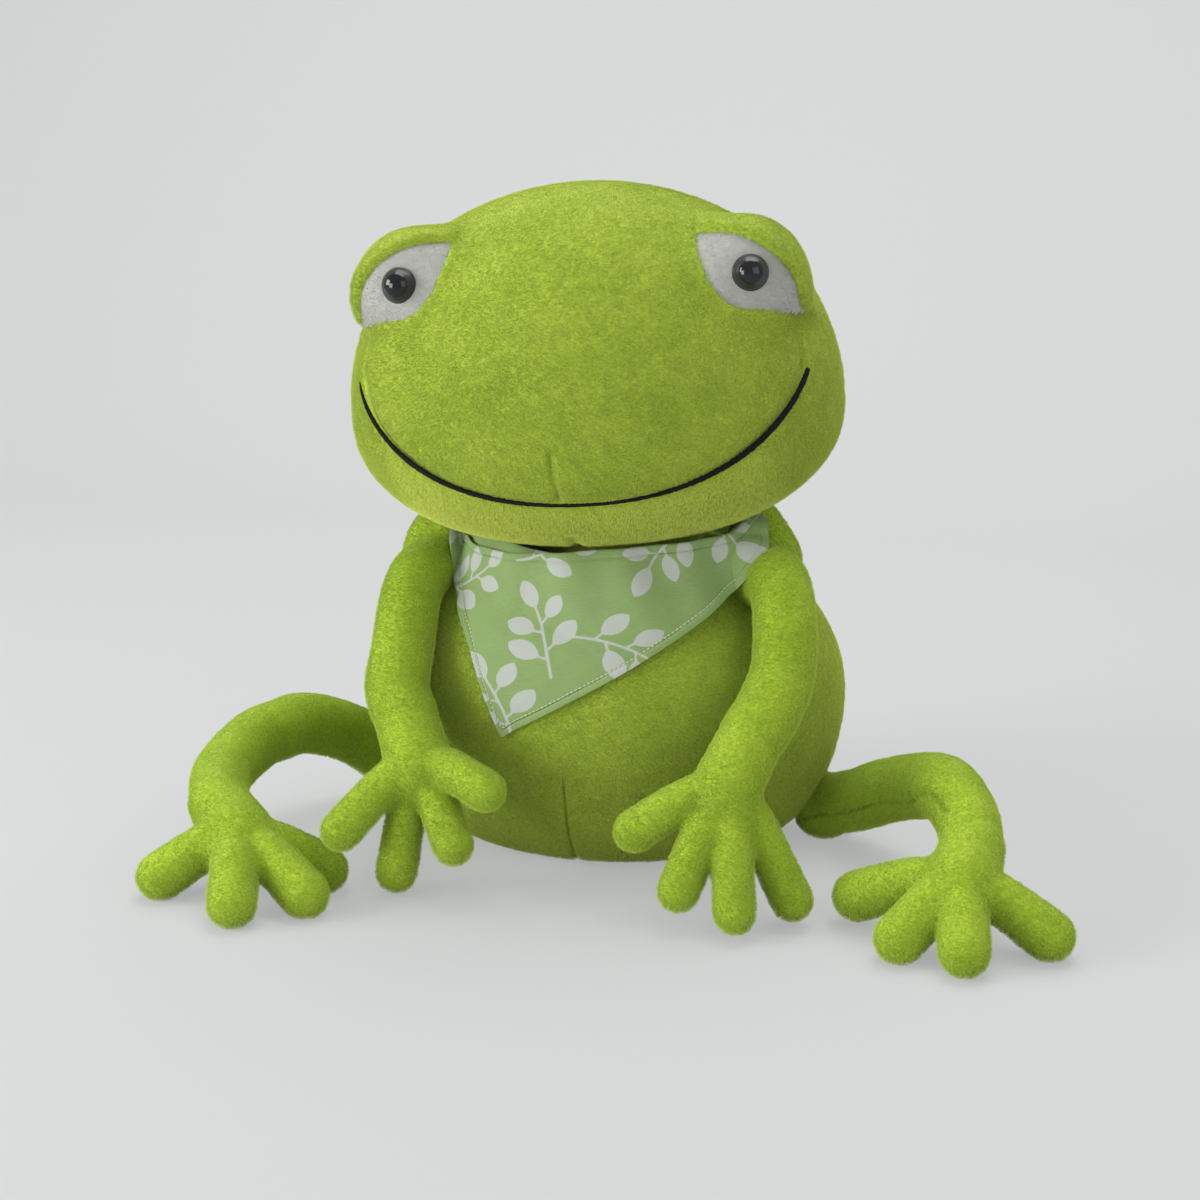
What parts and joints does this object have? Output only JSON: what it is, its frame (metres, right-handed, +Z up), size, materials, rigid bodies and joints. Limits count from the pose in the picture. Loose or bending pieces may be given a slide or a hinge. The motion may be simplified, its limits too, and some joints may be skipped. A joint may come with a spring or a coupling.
{
  "type": "plush frog",
  "caption": "Seated plush frog with a wide smiling head, safety eyes, long posable arms and legs, splayed hands and feet, and a printed cotton bandana.",
  "frame": {"origin": "centre of the flat seat, on the surface that the frog sits on", "axes": "+Z up, the frog faces -Y, +X towards the frog's left"},
  "size_m": [0.3238, 0.2229, 0.2418],
  "materials": {
    "body_plush": "short pile plush",
    "limb_plush": "short pile plush",
    "eye_fleece": "white short fleece",
    "eye_plastic": "glossy",
    "washer_plastic": "moulded",
    "mouth_thread": "satin thread",
    "bandana_cotton": "woven cotton with printed white leaf sprigs",
    "bean_bag_cloth": "plain lining"
  },
  "bodies": {
    "torso": {"torso": "body_plush", "seat_bean_bag": "bean_bag_cloth", "bandana": "bandana_cotton", "bandana_knot": "bandana_cotton"},
    "neck": {"neck": "body_plush"},
    "head": {"head": "body_plush", "mouth_stitching": "mouth_thread", "eye_patch_left": "eye_fleece", "eye_patch_right": "eye_fleece", "brow_left": "body_plush", "brow_right": "body_plush", "eye_left": "eye_plastic", "eye_right": "eye_plastic", "eye_washer_left": "washer_plastic", "eye_washer_right": "washer_plastic"},
    "upper_arm_left": {"upper_arm_left": "limb_plush"},
    "forearm_left": {"forearm_left": "limb_plush"},
    "hand_left": {"hand_left": "limb_plush"},
    "thigh_left": {"thigh_left": "limb_plush"},
    "shin_left": {"shin_left": "limb_plush"},
    "foot_left": {"foot_left": "limb_plush"},
    "upper_arm_right": {"upper_arm_right": "limb_plush"},
    "forearm_right": {"forearm_right": "limb_plush"},
    "hand_right": {"hand_right": "limb_plush"},
    "thigh_right": {"thigh_right": "limb_plush"},
    "shin_right": {"shin_right": "limb_plush"},
    "foot_right": {"foot_right": "limb_plush"}
  },
  "joints": [
    {"name": "neck_turn", "type": "hinge", "parent": "torso", "child": "neck", "pos_m": [0, 0, 0.117], "axis": [0, 0, 1], "range_deg": [-35, 25]},
    {"name": "head_nod", "type": "hinge", "parent": "neck", "child": "head", "pos_m": [0, 0, 0.117], "axis": [0.9945, 0.1045, 0], "range_deg": [-12, 0]},
    {"name": "shoulder_left", "type": "hinge", "parent": "torso", "child": "upper_arm_left", "pos_m": [0.0607, -0.02241, 0.10226], "axis": [-1, 0, 0], "range_deg": [0, 40]},
    {"name": "elbow_left", "type": "hinge", "parent": "upper_arm_left", "child": "forearm_left", "pos_m": [0.0761, -0.05691, 0.08158], "axis": [-1, 0, 0], "range_deg": [0, 35]},
    {"name": "wrist_left", "type": "hinge", "parent": "forearm_left", "child": "hand_left", "pos_m": [0.06659, -0.07838, 0.05958], "axis": [-1, 0, 0], "range_deg": [0, 25]},
    {"name": "hip_left", "type": "hinge", "parent": "torso", "child": "thigh_left", "pos_m": [0.08244, 0, 0.01236], "axis": [0, 0, 1], "range_deg": [0, 25]},
    {"name": "knee_left", "type": "hinge", "parent": "thigh_left", "child": "shin_left", "pos_m": [0.11892, -0.03396, 0.03384], "axis": [0, 0, 1], "range_deg": [0, 20]},
    {"name": "ankle_left", "type": "hinge", "parent": "shin_left", "child": "foot_left", "pos_m": [0.14244, -0.08004, 0.0294], "axis": [-1, 0, 0], "range_deg": [0, 20]},
    {"name": "shoulder_right", "type": "hinge", "parent": "torso", "child": "upper_arm_right", "pos_m": [-0.0607, -0.02241, 0.10226], "axis": [-1, 0, 0], "range_deg": [0, 40]},
    {"name": "elbow_right", "type": "hinge", "parent": "upper_arm_right", "child": "forearm_right", "pos_m": [-0.06475, -0.06342, 0.07744], "axis": [-1, 0, 0], "range_deg": [0, 35]},
    {"name": "wrist_right", "type": "hinge", "parent": "forearm_right", "child": "hand_right", "pos_m": [-0.05463, -0.07838, 0.05852], "axis": [-1, 0, 0], "range_deg": [0, 25]},
    {"name": "hip_right", "type": "hinge", "parent": "torso", "child": "thigh_right", "pos_m": [-0.08244, 0, 0.01236], "axis": [0, 0, -1], "range_deg": [0, 25]},
    {"name": "knee_right", "type": "hinge", "parent": "thigh_right", "child": "shin_right", "pos_m": [-0.12204, -0.0348, 0.03684], "axis": [0, 0, -1], "range_deg": [0, 20]},
    {"name": "ankle_right", "type": "hinge", "parent": "shin_right", "child": "foot_right", "pos_m": [-0.12144, -0.09204, 0.02736], "axis": [-1, 0, 0], "range_deg": [0, 8]}
  ]
}
